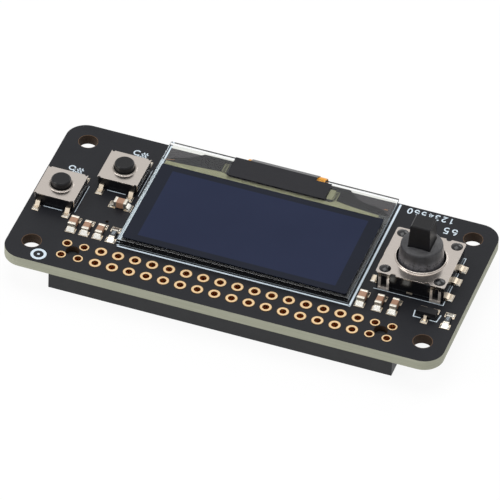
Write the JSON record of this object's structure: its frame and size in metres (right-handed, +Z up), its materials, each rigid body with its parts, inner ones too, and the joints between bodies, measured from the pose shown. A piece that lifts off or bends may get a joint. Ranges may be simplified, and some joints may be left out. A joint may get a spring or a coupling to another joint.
{
  "type": "display and button add-on board",
  "caption": "Black add-on circuit board with a monochrome display module, push buttons, a five-way joystick and a two-row pin socket beneath.",
  "frame": {"origin": "centre of the four mounting holes, on the underside of the board", "axes": "+X along the long side towards the joystick, +Y across the board from the pin socket to the display flex, +Z up out of the display"},
  "size_m": [0.065, 0.032, 0.0152],
  "materials": {
    "solder_mask": "satin black solder mask on glass-fibre laminate",
    "gold_plate": "gold-plated copper",
    "tin_plate": "tin-plated copper",
    "solder": "reflowed solder",
    "socket_plastic": "matte black moulded plastic",
    "foam_tape": "white double-sided tape",
    "display_glass": "polished cut glass",
    "pixel_layer": "unlit pixel layer",
    "polarizer_film": "smooth dark polarizer film",
    "silicon": "bare silicon",
    "flex_film": "amber polyimide film",
    "black_tape": "black light-blocking tape",
    "switch_plastic": "black moulded plastic",
    "stainless_sheet": "smooth stainless sheet",
    "ring_plastic": "natural moulded plastic",
    "dome_plastic": "dark grey moulded plastic",
    "spring_steel": "spring steel",
    "capacitor_ceramic": "fired brown ceramic with tin ends",
    "resistor_ceramic": "dark glazed ceramic with tin ends"
  },
  "bodies": {
    "board": {"circuit_board": "solder_mask", "plated_holes": "gold_plate", "surface_lands": "tin_plate", "solder_joints": "solder", "header_housing": "socket_plastic", "header_contacts": "gold_plate", "display_adhesive": "foam_tape", "display_cap_glass": "display_glass", "display_pixels": "pixel_layer", "display_front_glass": "display_glass", "display_polarizer": "polarizer_film", "display_driver": "silicon", "display_flex": "flex_film", "display_light_shield": "black_tape", "button_5_base": "switch_plastic", "button_5_cover": "stainless_sheet", "button_5_dome": "spring_steel", "button_5_leads": "tin_plate", "button_6_base": "switch_plastic", "button_6_cover": "stainless_sheet", "button_6_dome": "spring_steel", "button_6_leads": "tin_plate", "joystick_base": "switch_plastic", "joystick_cover": "stainless_sheet", "joystick_contacts": "spring_steel", "joystick_terminals": "tin_plate", "capacitor_1": "capacitor_ceramic", "capacitor_2": "capacitor_ceramic", "capacitor_3": "capacitor_ceramic", "capacitor_4": "capacitor_ceramic", "capacitor_5": "capacitor_ceramic", "capacitor_6": "capacitor_ceramic", "capacitor_7": "capacitor_ceramic", "resistor_1": "resistor_ceramic", "resistor_2": "resistor_ceramic", "transistor_body": "switch_plastic", "transistor_leads": "tin_plate"},
    "button_5_key": {"button_5_plunger": "switch_plastic"},
    "button_6_key": {"button_6_plunger": "switch_plastic"},
    "tilt_ring": {"joystick_ring": "ring_plastic"},
    "tilt_dome": {"joystick_dome": "dome_plastic"},
    "push_stick": {"joystick_stick": "switch_plastic"}
  },
  "joints": [
    {"name": "button_5_press", "type": "slide", "parent": "board", "child": "button_5_key", "axis": [0, 0, -1], "range_m": [0, 0.00025], "stiffness_N_per_m": 4000, "springref_m": -0.00015},
    {"name": "button_6_press", "type": "slide", "parent": "board", "child": "button_6_key", "axis": [0, 0, -1], "range_m": [0, 0.00025], "stiffness_N_per_m": 4000, "springref_m": -0.00015},
    {"name": "joystick_tilt_y", "type": "hinge", "parent": "board", "child": "tilt_ring", "pos_m": [0.02425, 0.00185, 0.0035], "axis": [1, 0, 0], "range_deg": [-6, 6], "stiffness_Nm_per_rad": 0.09},
    {"name": "joystick_tilt_x", "type": "hinge", "parent": "tilt_ring", "child": "tilt_dome", "pos_m": [0.02425, 0.00185, 0.0035], "axis": [0, 1, 0], "range_deg": [-6, 6], "stiffness_Nm_per_rad": 0.09},
    {"name": "joystick_push", "type": "slide", "parent": "tilt_dome", "child": "push_stick", "axis": [0, 0, -1], "range_m": [0, 0.00025], "stiffness_N_per_m": 4000, "springref_m": -0.00015}
  ]
}
